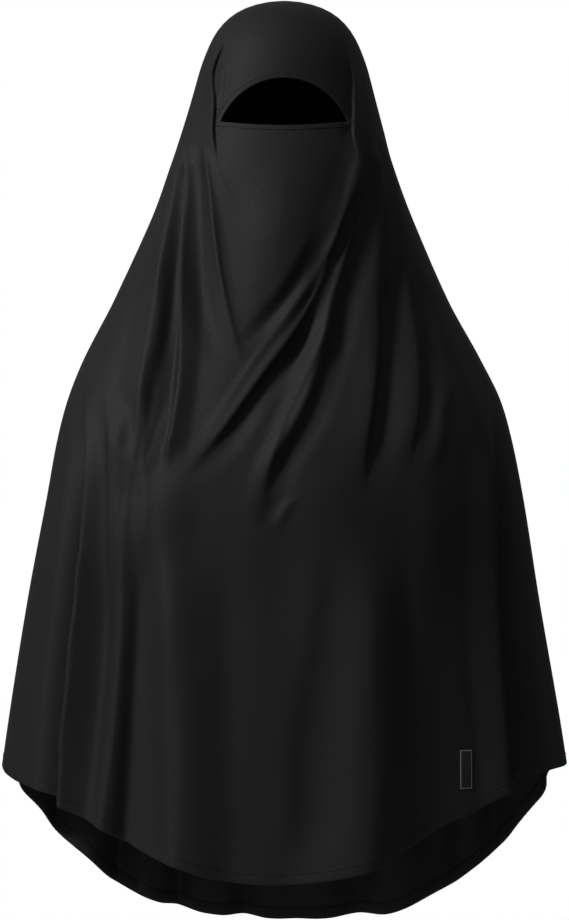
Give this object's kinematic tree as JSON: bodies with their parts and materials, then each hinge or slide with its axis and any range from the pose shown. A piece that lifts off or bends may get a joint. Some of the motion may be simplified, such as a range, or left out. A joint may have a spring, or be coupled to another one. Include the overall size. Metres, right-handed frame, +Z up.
{
  "type": "khimar veil",
  "caption": "Long hooded cape veil with a joined face veil and a half-moon eye opening, hanging in soft folds, its front hem shorter than the back one.",
  "frame": {"origin": "where the crown of the wearer's head meets the inside of the cloth", "axes": "+Z up, -Y the way the wearer faces, +X the viewer's right when seen from the front"},
  "size_m": [0.6042, 0.4145, 1.0129],
  "materials": {
    "veil_cloth": "matte black crepe",
    "label_ribbon": "black woven ribbon, low sheen"
  },
  "bodies": {
    "root": {"front_panel": "veil_cloth", "back_panel": "veil_cloth", "eye_arch_hem": "veil_cloth", "veil_top_hem": "veil_cloth", "front_hem": "veil_cloth", "back_hem": "veil_cloth", "side_label": "label_ribbon"}
  },
  "joints": []
}
